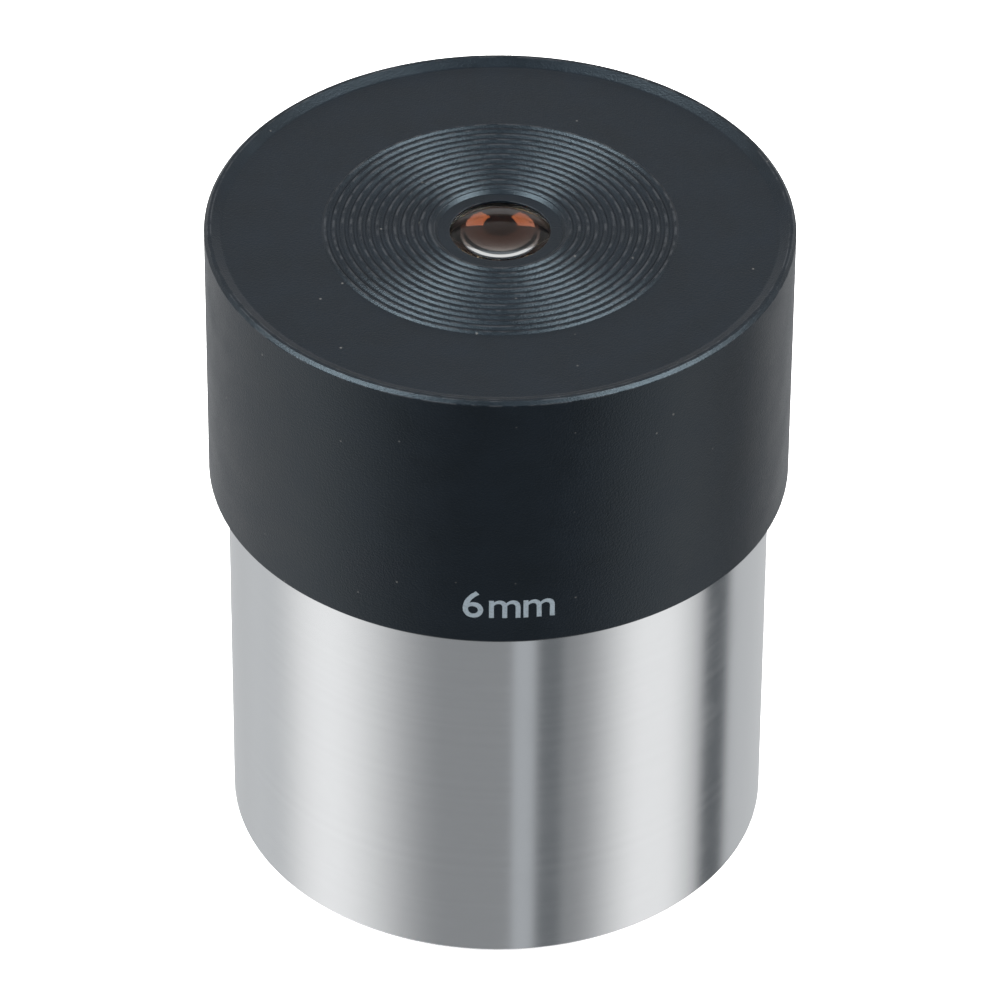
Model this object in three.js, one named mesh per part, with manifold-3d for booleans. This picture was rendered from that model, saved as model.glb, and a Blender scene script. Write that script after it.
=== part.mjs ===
// A short 1.25 inch telescope eyepiece: a black head screwed onto a plain barrel,
// with a biconvex eye lens and a cemented triplet in a cell inside the head.
// Millimetres, +Z up along the optical axis towards the eye.
// The origin is the centre of the barrel's open end.

import * as THREE from "three";
import * as BufferGeometryUtils from "three/addons/utils/BufferGeometryUtils.js";
import Module from "manifold-3d";

const wasm = await Module();
wasm.setup();

// ---------------------------------------------------------------------------
// Driving dimensions
// ---------------------------------------------------------------------------

// Facets round the two outer parts, and round the small parts inside them, and steps
// along each lens curve
const OUTER_FACETS = 60;
const INNER_FACETS = 36;
const ARC_STEPS = 4;

// Clearances
const THREAD_CLEARANCE = 0.1; // radial, between a male thread and its bore
const SLIDE_CLEARANCE = 0.1; // radial, round the cell and round the barrel's shoulder
const FLANGE_CLEARANCE = 0.2; // radial, round the cell's flange
const GLASS_CLEARANCE = 0.05; // radial, between a lens and its bore
const SEAT_GAP = 0.05; // along the axis, where two pieces seat on each other
const CEMENT_GAP = 0.02; // along the axis, between cemented glasses

// Barrel
const BARREL_RADIUS = 15.875; // the 1.25 inch standard
const BARREL_LENGTH = 24.45; // from the open end to the underside of the head
const BARREL_WALL = 2.375;
const BARREL_EDGE_CHAMFER = 0.3;
const FILTER_THREAD_STEP = 0.75; // radial, from the bore out to the filter thread
const FILTER_THREAD_LENGTH = 5;
const FILTER_LEAD_IN = 0.35;

// Threaded spigot on top of the barrel
const SPIGOT_WALL = 1.25;
const SPIGOT_LENGTH = 5;
const SPIGOT_LEAD_IN = 0.3;
const RELIEF_DEPTH = 0.4;
const RELIEF_WIDTH = 0.8;

// Head
const HEAD_OVERHANG = 1.125; // radial, from the barrel out to the head
const HEAD_HEIGHT = 17.28;
const RIM_CHAMFER = 0.2;
const FACE_RECESS = 0.33; // the face lies this far below the rim
const RIM_WIDTH = 0.2; // flat top of the rim, inside its chamfer
const RIM_RAMP = 0.6; // width of the slope from the rim down to the face
const SHOULDER_RECESS = 0.5; // the barrel's shoulder seats this deep in the head
const HEAD_THREAD_RUNOUT = 1; // bore depth past the end of the spigot
const LOCK_RING_STEP = 1.65; // radial, from the head's thread in to the lock ring's
const LOCK_RING_RUN_IN = 0.1; // along the axis, below the lock ring
const FACE_WEB = 1.2; // wall between the face and the cell's bore

// Eye opening and the ridges round it
const EYE_OPENING_RADIUS = 2.9;
const EYE_RECESS_DEPTH = 0.2; // the face steps down round the opening
const EYE_RECESS_SLOPE = 0.2; // radial width of that step
const EYE_LIP = 0.15; // thickness of the lip in front of the eye lens
const INNER_LAND = 0.89; // from the opening to the foot of the first ridge
const RIDGE_COUNT = 13;
const RIDGE_PITCH = 0.502;
const RIDGE_HEIGHT = 0.15;

// Eye lens, biconvex, flatter side towards the eye
const EYE_LENS_RIM = 0.8; // radial, hidden behind the lip
const EYE_LENS_EDGE = 0.7; // thickness at the rim
const EYE_LENS_FRONT_CURVE = 9;
const EYE_LENS_CURVE = 7;

// Spacer and triplet
const LENS_AIR_GAP = 0.3; // between the eye lens's vertex and the triplet's
const SPACER_WALL = 0.7;
const TRIPLET_STEP = 1; // radial, from the eye lens out to the triplet
const TRIPLET_OUTER_CURVE = 9;
const TRIPLET_INNER_CURVE = 8;
const CROWN_EDGE = 0.55; // thickness at the rim
const FLINT_THICKNESS = 0.9; // thickness on the axis

// Lens cell and its rings
const CELL_WALL = 3.75;
const CELL_NOSE_WALL = 1.15;
const CELL_FLANGE_THICKNESS = 1.6;
const RETAINER_STEP = 0.6; // radial, from the triplet out to the retainer's thread
const RETAINER_LEDGE = 0.5; // radial, under the triplet's rim
const RETAINER_THICKNESS = 1.4;
const LOCK_RING_THICKNESS = 1.8;
const LOCK_RING_CELL_GAP = 1; // radial, round the cell
const SPANNER_SLOT_WIDTH = 1;
const SPANNER_SLOT_DEPTH = 0.6;

// Field stop and its holder
const HOLDER_RING_GAP = 0.35; // along the axis, between retainer and holder
const HOLDER_SPIGOT_LENGTH = 1.6;
const HOLDER_WALL = 1;
const HOLDER_FLANGE_INSET = 1; // radial, from the cell in to the holder's flange
const HOLDER_FLANGE_THICKNESS = 2;
const STOP_LEDGE = 1.05; // radial, under the field stop
const STOP_OPENING_RADIUS = 2.45;
const STOP_THICKNESS = 0.6;
const STOP_EDGE = 0.1; // thickness of the stop's knife edge

// The depth of a spherical surface of radius curve, from its vertex, at a radius.
function sag(curve, radius) {
  return curve - Math.sqrt(curve * curve - radius * radius);
}

// ---------------------------------------------------------------------------
// Radii from the driving dimensions
// ---------------------------------------------------------------------------

const BARREL_BORE_RADIUS = BARREL_RADIUS - BARREL_WALL;
const FILTER_THREAD_RADIUS = BARREL_BORE_RADIUS + FILTER_THREAD_STEP;
const SPIGOT_RADIUS = BARREL_BORE_RADIUS + SPIGOT_WALL;
const HEAD_RADIUS = BARREL_RADIUS + HEAD_OVERHANG;
const SHOULDER_BORE_RADIUS = BARREL_RADIUS + SLIDE_CLEARANCE;
const HEAD_THREAD_RADIUS = SPIGOT_RADIUS + THREAD_CLEARANCE;
const LOCK_RING_BORE_RADIUS = HEAD_THREAD_RADIUS - LOCK_RING_STEP;
const LOCK_RING_RADIUS = LOCK_RING_BORE_RADIUS - THREAD_CLEARANCE;
const CELL_FLANGE_RADIUS = LOCK_RING_BORE_RADIUS - FLANGE_CLEARANCE;
const FIRST_RIDGE_RADIUS = EYE_OPENING_RADIUS + INNER_LAND + RIDGE_PITCH / 2;
const EYE_LENS_RADIUS = EYE_OPENING_RADIUS + EYE_LENS_RIM;
const EYE_LENS_BORE_RADIUS = EYE_LENS_RADIUS + GLASS_CLEARANCE;
const SPACER_BORE_RADIUS = EYE_LENS_RADIUS - SPACER_WALL;
const TRIPLET_RADIUS = EYE_LENS_RADIUS + TRIPLET_STEP;
const TRIPLET_BORE_RADIUS = TRIPLET_RADIUS + GLASS_CLEARANCE;
const CELL_RADIUS = TRIPLET_BORE_RADIUS + CELL_WALL;
const CELL_NOSE_RADIUS = EYE_LENS_BORE_RADIUS + CELL_NOSE_WALL;
const RETAINER_RADIUS = TRIPLET_RADIUS + RETAINER_STEP;
const RETAINER_BORE_RADIUS = TRIPLET_RADIUS - RETAINER_LEDGE;
const STOP_BORE_RADIUS = RETAINER_RADIUS - HOLDER_WALL;
const STOP_RADIUS = STOP_BORE_RADIUS - GLASS_CLEARANCE;

// ---------------------------------------------------------------------------
// Places along the axis, from the driving dimensions
// ---------------------------------------------------------------------------

// Head and barrel
const SHOULDER_Z = BARREL_LENGTH;
const BARREL_SEAT_Z = SHOULDER_Z + SHOULDER_RECESS;
const SPIGOT_TOP_Z = BARREL_SEAT_Z + SPIGOT_LENGTH;
const HEAD_THREAD_TOP_Z = SPIGOT_TOP_Z + HEAD_THREAD_RUNOUT;
const RIM_Z = SHOULDER_Z + HEAD_HEIGHT;
const FACE_Z = RIM_Z - FACE_RECESS;
const CELL_BORE_TOP_Z = FACE_Z - FACE_WEB;
const EYE_RECESS_Z = FACE_Z - EYE_RECESS_DEPTH;
const LIP_UNDERSIDE_Z = EYE_RECESS_Z - EYE_LIP;

// Lock ring and the cell's flange, upwards from the head's thread
const LOCK_RING_BOTTOM_Z = HEAD_THREAD_TOP_Z + LOCK_RING_RUN_IN;
const LOCK_RING_TOP_Z = LOCK_RING_BOTTOM_Z + LOCK_RING_THICKNESS;
const FLANGE_BOTTOM_Z = LOCK_RING_TOP_Z + SEAT_GAP;
const CELL_SEAT_Z = FLANGE_BOTTOM_Z + CELL_FLANGE_THICKNESS;

// Glass, downwards from the lip
const EYE_LENS_THICKNESS =
  sag(EYE_LENS_FRONT_CURVE, EYE_LENS_RADIUS) +
  EYE_LENS_EDGE +
  sag(EYE_LENS_CURVE, EYE_LENS_RADIUS);
const CROWN_THICKNESS =
  CROWN_EDGE + sag(TRIPLET_OUTER_CURVE, TRIPLET_RADIUS) + sag(TRIPLET_INNER_CURVE, TRIPLET_RADIUS);
const CELL_TOP_Z = LIP_UNDERSIDE_Z - SEAT_GAP;
const EYE_FRONT_VERTEX_Z = CELL_TOP_Z + sag(EYE_LENS_FRONT_CURVE, EYE_OPENING_RADIUS);
const EYE_VERTEX_Z = EYE_FRONT_VERTEX_Z - EYE_LENS_THICKNESS;
const TRIPLET_TOP_Z = EYE_VERTEX_Z - LENS_AIR_GAP;
const TRIPLET_STEP_Z = TRIPLET_TOP_Z - sag(TRIPLET_OUTER_CURVE, EYE_LENS_BORE_RADIUS) + SEAT_GAP;
const FLINT_TOP_Z = TRIPLET_TOP_Z - CROWN_THICKNESS - CEMENT_GAP;
const FIELD_ELEMENT_TOP_Z = FLINT_TOP_Z - FLINT_THICKNESS - CEMENT_GAP;
const FIELD_VERTEX_Z = FIELD_ELEMENT_TOP_Z - CROWN_THICKNESS;

// Retainer, cell end and field stop, below the glass
const RETAINER_TOP_Z = FIELD_VERTEX_Z + sag(TRIPLET_OUTER_CURVE, RETAINER_BORE_RADIUS) - SEAT_GAP;
const RETAINER_BOTTOM_Z = RETAINER_TOP_Z - RETAINER_THICKNESS;
const HOLDER_TOP_Z = RETAINER_BOTTOM_Z - HOLDER_RING_GAP;
const CELL_BOTTOM_Z = HOLDER_TOP_Z - HOLDER_SPIGOT_LENGTH;
const HOLDER_FLANGE_TOP_Z = CELL_BOTTOM_Z - SEAT_GAP;

// ---------------------------------------------------------------------------
// Materials
// ---------------------------------------------------------------------------

const finish = (color, roughness, metalness) =>
  new THREE.MeshStandardMaterial({ color, roughness, metalness });

const blackAnodised = () => finish(0x2b2d33, 0.5, 0.4);
const brightChrome = () => finish(0xd2d6d9, 0.25, 1);
const blackenedBrass = () => finish(0x26241f, 0.6, 0.5);
const coatedGlass = () => finish(0xb08068, 0.05, 0);

// ---------------------------------------------------------------------------
// Shape helpers
// ---------------------------------------------------------------------------

// A closed solid of revolution about +Z from [radius, z] points. The outline runs
// upwards on its outer side, and closes on itself unless it starts on the axis.
function turned(outline, facets) {
  const onAxis = outline[0][0] === 0;
  const loop = onAxis ? outline : [...outline, outline[0]];
  const points = loop.map(([radius, z]) => new THREE.Vector2(radius, z));
  const geometry = new THREE.LatheGeometry(points, facets);
  geometry.rotateX(Math.PI / 2);
  return geometry;
}

// A plain ring of rectangular section.
function turnedRing(bore, radius, bottomZ, topZ) {
  const outline = [
    [bore, bottomZ],
    [radius, bottomZ],
    [radius, topZ],
    [bore, topZ],
  ];
  return turned(outline, INNER_FACETS);
}

// Points along a spherical surface from the axis out to edgeRadius. bend is -1 where
// the rim lies below the vertex and +1 where it lies above.
function lensArc(vertexZ, curve, edgeRadius, bend) {
  const points = [];
  for (let step = 0; step <= ARC_STEPS; step += 1) {
    const radius = (edgeRadius * step) / ARC_STEPS;
    points.push([radius, vertexZ + bend * sag(curve, radius)]);
  }
  return points;
}

// A geometry as a manifold solid, with its shared vertices merged.
function toSolid(geometry) {
  const bare = geometry.clone();
  bare.deleteAttribute("normal");
  bare.deleteAttribute("uv");
  const merged = BufferGeometryUtils.mergeVertices(bare, 1e-5);
  return new wasm.Manifold(
    new wasm.Mesh({
      numProp: 3,
      vertProperties: new Float32Array(merged.attributes.position.array),
      triVerts: new Uint32Array(merged.index.array),
    }),
  );
}

// A manifold solid as a geometry.
function toGeometry(solid) {
  const mesh = solid.getMesh();
  const geometry = new THREE.BufferGeometry();
  geometry.setAttribute("position", new THREE.BufferAttribute(mesh.vertProperties, 3));
  geometry.setIndex(new THREE.BufferAttribute(mesh.triVerts, 1));
  return geometry;
}

// A ring with one slot cut right across its lower face, for a two-pin spanner.
function withSpannerSlots(ring, outerRadius, bottomZ) {
  const length = 2.5 * outerRadius;
  const height = 2 * SPANNER_SLOT_DEPTH;
  const cutter = new THREE.BoxGeometry(length, SPANNER_SLOT_WIDTH, height);
  cutter.translate(0, 0, bottomZ);
  return toGeometry(toSolid(ring).subtract(toSolid(cutter)));
}

function named(name, geometry, material) {
  const mesh = new THREE.Mesh(geometry, material);
  mesh.name = name;
  return mesh;
}

// ---------------------------------------------------------------------------
// Barrel
// ---------------------------------------------------------------------------

function barrel() {
  const reliefRadius = SPIGOT_RADIUS - RELIEF_DEPTH;
  const leadInRadius = FILTER_THREAD_RADIUS + FILTER_LEAD_IN;
  const outline = [
    [leadInRadius, 0],
    [BARREL_RADIUS - BARREL_EDGE_CHAMFER, 0],
    [BARREL_RADIUS, BARREL_EDGE_CHAMFER],
    [BARREL_RADIUS, BARREL_SEAT_Z],
    [reliefRadius, BARREL_SEAT_Z],
    [reliefRadius, BARREL_SEAT_Z + RELIEF_WIDTH],
    [SPIGOT_RADIUS, BARREL_SEAT_Z + RELIEF_WIDTH],
    [SPIGOT_RADIUS, SPIGOT_TOP_Z - SPIGOT_LEAD_IN],
    [SPIGOT_RADIUS - SPIGOT_LEAD_IN, SPIGOT_TOP_Z],
    [BARREL_BORE_RADIUS, SPIGOT_TOP_Z],
    [BARREL_BORE_RADIUS, FILTER_THREAD_LENGTH],
    [FILTER_THREAD_RADIUS, FILTER_THREAD_LENGTH],
    [FILTER_THREAD_RADIUS, FILTER_LEAD_IN],
  ];
  return named("barrel", turned(outline, OUTER_FACETS), brightChrome());
}

// ---------------------------------------------------------------------------
// Head
// ---------------------------------------------------------------------------

// The ridged part of the face from the rim inwards: sharp ridges that stand on the
// face, with their feet half a pitch either side.
function ridgedFace() {
  const points = [];
  for (let ridge = RIDGE_COUNT - 1; ridge >= 0; ridge -= 1) {
    const radius = FIRST_RIDGE_RADIUS + ridge * RIDGE_PITCH;
    points.push([radius + RIDGE_PITCH / 2, FACE_Z]);
    points.push([radius, FACE_Z + RIDGE_HEIGHT]);
  }
  points.push([FIRST_RIDGE_RADIUS - RIDGE_PITCH / 2, FACE_Z]);
  return points;
}

function headShell() {
  const cellBore = CELL_RADIUS + SLIDE_CLEARANCE;
  const noseBore = CELL_NOSE_RADIUS + SLIDE_CLEARANCE;
  const rimInner = HEAD_RADIUS - RIM_CHAMFER - RIM_WIDTH;
  const recessRadius = EYE_OPENING_RADIUS + INNER_LAND - EYE_RECESS_SLOPE;
  const seatZ = CELL_SEAT_Z + SEAT_GAP;
  const outline = [
    [HEAD_THREAD_RADIUS, BARREL_SEAT_Z],
    [SHOULDER_BORE_RADIUS, BARREL_SEAT_Z],
    [SHOULDER_BORE_RADIUS, SHOULDER_Z],
    [HEAD_RADIUS - RIM_CHAMFER, SHOULDER_Z],
    [HEAD_RADIUS, SHOULDER_Z + RIM_CHAMFER],
    [HEAD_RADIUS, RIM_Z - RIM_CHAMFER],
    [HEAD_RADIUS - RIM_CHAMFER, RIM_Z],
    [rimInner, RIM_Z],
    [rimInner - RIM_RAMP, FACE_Z],
    ...ridgedFace(),
    [recessRadius, EYE_RECESS_Z],
    [EYE_OPENING_RADIUS, EYE_RECESS_Z],
    [EYE_OPENING_RADIUS, LIP_UNDERSIDE_Z],
    [noseBore, LIP_UNDERSIDE_Z],
    [noseBore, CELL_BORE_TOP_Z],
    [cellBore, CELL_BORE_TOP_Z],
    [cellBore, seatZ],
    [LOCK_RING_BORE_RADIUS, seatZ],
    [LOCK_RING_BORE_RADIUS, HEAD_THREAD_TOP_Z],
    [HEAD_THREAD_RADIUS, HEAD_THREAD_TOP_Z],
  ];
  return named("head_shell", turned(outline, OUTER_FACETS), blackAnodised());
}

function cellLockRing() {
  const bore = CELL_RADIUS + LOCK_RING_CELL_GAP;
  const ring = turnedRing(bore, LOCK_RING_RADIUS, LOCK_RING_BOTTOM_Z, LOCK_RING_TOP_Z);
  const slotted = withSpannerSlots(ring, LOCK_RING_RADIUS, LOCK_RING_BOTTOM_Z);
  return named("cell_lock_ring", slotted, blackenedBrass());
}

// ---------------------------------------------------------------------------
// Lens cell and its rings
// ---------------------------------------------------------------------------

function lensCell() {
  const threadBore = RETAINER_RADIUS + THREAD_CLEARANCE;
  const noseBottomZ = CELL_BORE_TOP_Z - SEAT_GAP;
  const threadTopZ = RETAINER_TOP_Z + SEAT_GAP;
  const outline = [
    [threadBore, CELL_BOTTOM_Z],
    [CELL_RADIUS, CELL_BOTTOM_Z],
    [CELL_RADIUS, FLANGE_BOTTOM_Z],
    [CELL_FLANGE_RADIUS, FLANGE_BOTTOM_Z],
    [CELL_FLANGE_RADIUS, CELL_SEAT_Z],
    [CELL_RADIUS, CELL_SEAT_Z],
    [CELL_RADIUS, noseBottomZ],
    [CELL_NOSE_RADIUS, noseBottomZ],
    [CELL_NOSE_RADIUS, CELL_TOP_Z],
    [EYE_LENS_BORE_RADIUS, CELL_TOP_Z],
    [EYE_LENS_BORE_RADIUS, TRIPLET_STEP_Z],
    [TRIPLET_BORE_RADIUS, TRIPLET_STEP_Z],
    [TRIPLET_BORE_RADIUS, threadTopZ],
    [threadBore, threadTopZ],
  ];
  return named("lens_cell", turned(outline, INNER_FACETS), blackAnodised());
}

// The spacer bears on both lenses at its own bore.
function lensSpacer() {
  const topZ = EYE_VERTEX_Z + sag(EYE_LENS_CURVE, SPACER_BORE_RADIUS) - SEAT_GAP;
  const bottomZ = TRIPLET_TOP_Z - sag(TRIPLET_OUTER_CURVE, SPACER_BORE_RADIUS) + SEAT_GAP;
  const ring = turnedRing(SPACER_BORE_RADIUS, EYE_LENS_RADIUS, bottomZ, topZ);
  return named("lens_spacer", ring, blackenedBrass());
}

function lensRetainer() {
  const ring = turnedRing(RETAINER_BORE_RADIUS, RETAINER_RADIUS, RETAINER_BOTTOM_Z, RETAINER_TOP_Z);
  const slotted = withSpannerSlots(ring, RETAINER_RADIUS, RETAINER_BOTTOM_Z);
  return named("lens_retainer", slotted, blackenedBrass());
}

function fieldStopHolder() {
  const flangeRadius = CELL_RADIUS - HOLDER_FLANGE_INSET;
  const bore = STOP_RADIUS - STOP_LEDGE;
  const bottomZ = HOLDER_FLANGE_TOP_Z - HOLDER_FLANGE_THICKNESS;
  const outline = [
    [bore, bottomZ],
    [flangeRadius, bottomZ],
    [flangeRadius, HOLDER_FLANGE_TOP_Z],
    [RETAINER_RADIUS, HOLDER_FLANGE_TOP_Z],
    [RETAINER_RADIUS, HOLDER_TOP_Z],
    [STOP_BORE_RADIUS, HOLDER_TOP_Z],
    [STOP_BORE_RADIUS, HOLDER_FLANGE_TOP_Z],
    [bore, HOLDER_FLANGE_TOP_Z],
  ];
  const slotted = withSpannerSlots(turned(outline, INNER_FACETS), flangeRadius, bottomZ);
  return named("field_stop_holder", slotted, blackAnodised());
}

// The stop rests on the holder's ledge, bevelled from below to a knife edge.
function fieldStop() {
  const bottomZ = HOLDER_FLANGE_TOP_Z + SEAT_GAP;
  const topZ = bottomZ + STOP_THICKNESS;
  const bevel = STOP_THICKNESS - STOP_EDGE;
  const outline = [
    [STOP_OPENING_RADIUS + bevel, bottomZ],
    [STOP_RADIUS, bottomZ],
    [STOP_RADIUS, topZ],
    [STOP_OPENING_RADIUS, topZ],
    [STOP_OPENING_RADIUS, topZ - STOP_EDGE],
  ];
  return named("field_stop", turned(outline, INNER_FACETS), blackenedBrass());
}

// ---------------------------------------------------------------------------
// Glass
// ---------------------------------------------------------------------------

// A lens between a lower and an upper surface, each given from the axis outwards.
function lens(name, lowerArc, upperArc) {
  const outline = [...lowerArc, ...upperArc.reverse()];
  return named(name, turned(outline, INNER_FACETS), coatedGlass());
}

function eyeLens() {
  const lower = lensArc(EYE_VERTEX_Z, EYE_LENS_CURVE, EYE_LENS_RADIUS, 1);
  const upper = lensArc(EYE_FRONT_VERTEX_Z, EYE_LENS_FRONT_CURVE, EYE_LENS_RADIUS, -1);
  return lens("eye_lens", lower, upper);
}

function tripletEyeElement() {
  const lowerZ = TRIPLET_TOP_Z - CROWN_THICKNESS;
  const lower = lensArc(lowerZ, TRIPLET_INNER_CURVE, TRIPLET_RADIUS, 1);
  const upper = lensArc(TRIPLET_TOP_Z, TRIPLET_OUTER_CURVE, TRIPLET_RADIUS, -1);
  return lens("triplet_eye_element", lower, upper);
}

function tripletFlintElement() {
  const lowerZ = FLINT_TOP_Z - FLINT_THICKNESS;
  const lower = lensArc(lowerZ, TRIPLET_INNER_CURVE, TRIPLET_RADIUS, -1);
  const upper = lensArc(FLINT_TOP_Z, TRIPLET_INNER_CURVE, TRIPLET_RADIUS, 1);
  return lens("triplet_flint_element", lower, upper);
}

function tripletFieldElement() {
  const lower = lensArc(FIELD_VERTEX_Z, TRIPLET_OUTER_CURVE, TRIPLET_RADIUS, 1);
  const upper = lensArc(FIELD_ELEMENT_TOP_Z, TRIPLET_INNER_CURVE, TRIPLET_RADIUS, -1);
  return lens("triplet_field_element", lower, upper);
}

// ---------------------------------------------------------------------------
// Assembly
// ---------------------------------------------------------------------------

const head = new THREE.Group();
head.add(headShell(), cellLockRing());

const lensGroup = new THREE.Group();
lensGroup.add(lensCell(), lensSpacer(), lensRetainer(), fieldStopHolder(), fieldStop());
lensGroup.add(eyeLens(), tripletEyeElement(), tripletFlintElement(), tripletFieldElement());

const eyepiece = new THREE.Group();
eyepiece.add(barrel(), lensGroup, head);

export default eyepiece;
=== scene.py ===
"""Dresses a short 1.25 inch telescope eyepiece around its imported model.

The eyepiece is turned work: each piece is an outline in the plane of radius and height, carried
round the optical axis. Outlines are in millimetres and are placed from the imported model's boxes;
meshes are in metres, with +Z towards the eye and -Y towards the side that carries the mark.
"""

import logging
import math
from dataclasses import dataclass, field
from enum import Enum

import bmesh
import bpy
import numpy as np
from mathutils import Euler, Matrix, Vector


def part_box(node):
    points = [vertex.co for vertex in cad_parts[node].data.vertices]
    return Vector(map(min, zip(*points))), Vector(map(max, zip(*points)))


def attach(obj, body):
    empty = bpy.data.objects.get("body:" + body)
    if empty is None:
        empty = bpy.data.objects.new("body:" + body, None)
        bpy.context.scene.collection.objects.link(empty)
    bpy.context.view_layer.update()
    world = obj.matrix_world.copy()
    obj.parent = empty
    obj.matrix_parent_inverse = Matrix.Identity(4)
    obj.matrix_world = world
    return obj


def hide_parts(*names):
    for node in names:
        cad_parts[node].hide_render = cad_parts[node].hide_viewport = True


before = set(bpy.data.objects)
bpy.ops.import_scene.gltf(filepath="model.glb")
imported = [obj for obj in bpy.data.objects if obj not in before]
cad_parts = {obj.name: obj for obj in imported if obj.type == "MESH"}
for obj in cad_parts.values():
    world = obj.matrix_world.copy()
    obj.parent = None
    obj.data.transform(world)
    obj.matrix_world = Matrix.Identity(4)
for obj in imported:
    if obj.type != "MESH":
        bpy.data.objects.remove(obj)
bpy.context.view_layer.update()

logging.basicConfig(level=logging.INFO, format="%(message)s")
log = logging.getLogger("eyepiece")

MM = 0.001
SHARP_ANGLE = math.radians(38)
HOLD = 0.03  # millimetres from a fillet to the row that keeps its neighbour flat
Array = np.ndarray
Corner = tuple[float, float, float]  # radius, height and fillet radius
Socket = bpy.types.NodeSocket


class Body(Enum):
    """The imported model's rigid bodies."""

    BARREL = "barrel"
    LENS_GROUP = "lens_group"
    HEAD = "head"


class Slot(Enum):
    """The record's material slots."""

    HEAD = "black_anodised_head"
    BARREL = "bright_barrel"
    CELL = "black_cell"
    BRASS = "blackened_brass"
    GLASS = "coated_glass"


# ---------------------------------------------------------------------------
# Outlines
# ---------------------------------------------------------------------------


@dataclass(frozen=True)
class NodeBox:
    """The outer radius of a CAD node and its two ends along the axis, in millimetres."""

    radius: float
    low: float
    high: float

    @classmethod
    def of(cls, node: str) -> "NodeBox":
        """Read the box of a node.

        Args:
            node: the CAD node's name.

        Returns:
            Its radius and ends.
        """
        low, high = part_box(node)
        return cls(high.x / MM, low.z / MM, high.z / MM)


@dataclass(frozen=True)
class Profile:
    """A closed outline in radius and height, with a mark on its rounded outer edges."""

    points: Array
    edge: Array

    def with_rows(self, radius: float, low: float, high: float, spacing: float) -> "Profile":
        """Add evenly spaced points to the straight wall that spans a stretch of the axis.

        Args:
            radius: the wall's radius.
            low: lower end of the stretch.
            high: upper end of the stretch.
            spacing: distance between the new points.

        Returns:
            The profile with the new points in their place along the wall.
        """
        ahead = np.roll(self.points, -1, axis=0)
        on_wall = np.abs(self.points[:, 0] - radius) + np.abs(ahead[:, 0] - radius) < spacing
        middle = 0.5 * (self.points[:, 1] + ahead[:, 1])
        inside = (middle > low) & (middle < high) & on_wall
        length = np.abs(ahead[:, 1] - self.points[:, 1]) * inside
        at = int(np.argmax(length))
        count = int(length[at] / spacing)
        share = np.arange(1, count)[:, None] / count
        rows = self.points[at] + share * (ahead[at] - self.points[at])
        points = np.insert(self.points, at + 1, rows, axis=0)
        edge = np.insert(self.edge, at + 1, np.zeros(count - 1))
        return Profile(points, edge)


def unit(vectors: Array) -> Array:
    """Scale each row to a length of one."""
    return vectors / np.linalg.norm(vectors, axis=1, keepdims=True)


def rounded(corners: list[Corner], steps: int = 3) -> Profile:
    """Round every corner of a closed outline with a tangent arc.

    An arc of radius f touches both sides at f / tan(half the corner's angle) from the corner, and
    its centre lies on the bisector at f / sin(half the angle). Points along the arc are the
    spherical mix of its two end radii. A row just beyond each end keeps the sides flat.

    Args:
        corners: radius, height and fillet radius of each corner, in order.
        steps: segments in each arc.

    Returns:
        The outline, turned so that its outer side runs upwards.
    """
    table = np.array(corners, float)
    beyond = np.roll(table, -1, axis=0)
    area = np.sum(table[:, 0] * beyond[:, 1] - beyond[:, 0] * table[:, 1])
    table = table if area > 0 else table[::-1]
    points, fillets = table[:, :2], table[:, 2]
    spans = np.linalg.norm(np.roll(points, -1, axis=0) - points, axis=1)
    back = unit(np.roll(points, 1, axis=0) - points)
    ahead = unit(np.roll(points, -1, axis=0) - points)
    half = 0.5 * np.arccos(np.clip(np.sum(back * ahead, axis=1), -1, 1))
    reach = fillets / np.tan(half)
    centre = points + unit(back + ahead) * (fillets / np.sin(half))[:, None]
    start = points + back * reach[:, None] - centre
    end = points + ahead * reach[:, None] - centre
    sweep = (math.pi - 2 * half)[:, None, None]
    share = np.linspace(0, 1, steps + 1)[None, :, None]
    mix = np.sin((1 - share) * sweep) * start[:, None] + np.sin(share * sweep) * end[:, None]
    arcs = centre[:, None] + mix / np.sin(sweep)
    rest = np.clip(spans - reach - np.roll(reach, -1), 0, None)
    hold_ahead = np.minimum(HOLD, 0.3 * rest)
    hold_back = np.roll(hold_ahead, 1)
    before = arcs[:, :1] + (back * hold_back[:, None])[:, None]
    after = arcs[:, -1:] + (ahead * hold_ahead[:, None])[:, None]
    outline = np.concatenate([before, arcs, after], axis=1)
    convex = (back[:, 1] * ahead[:, 0] - back[:, 0] * ahead[:, 1]) > 0
    mark = np.concatenate([[0.0], np.ones(steps + 1), [0.0]])
    return Profile(outline.reshape(-1, 2), (convex[:, None] * mark[None]).reshape(-1))


@dataclass(frozen=True)
class Thread:
    """A right-hand screw thread cut into a cylindrical wall."""

    radius: float
    low: float
    high: float
    pitch: float
    depth: float

    @property
    def row_spacing(self) -> float:
        """Distance between the outline points that the thread needs."""
        return self.pitch / 8

    def cut(self, radius: Array, height: Array, angle: Array) -> Array:
        """Radial offset of the wall.

        The offset is minus the depth times a rounded wave of height / pitch - angle / turn, which
        climbs one pitch a turn. It fades in and out over one pitch at the ends of the thread, and
        leaves every wall of another radius alone. A negative depth cuts outwards, as in a bore.

        Args:
            radius: radius of each outline point, as a column.
            height: height of each outline point, as a column.
            angle: the angles round the axis, as a row.

        Returns:
            One offset for each point of the grid.
        """
        wave = 0.5 - 0.5 * np.cos(2 * math.pi * (height / self.pitch - angle / (2 * math.pi)))
        start = np.clip((height - self.low) / self.pitch, 0, 1)
        finish = np.clip((self.high - height) / self.pitch, 0, 1)
        on_wall = np.abs(radius - self.radius) < 0.01
        return -self.depth * wave**0.8 * start * finish * on_wall


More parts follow.
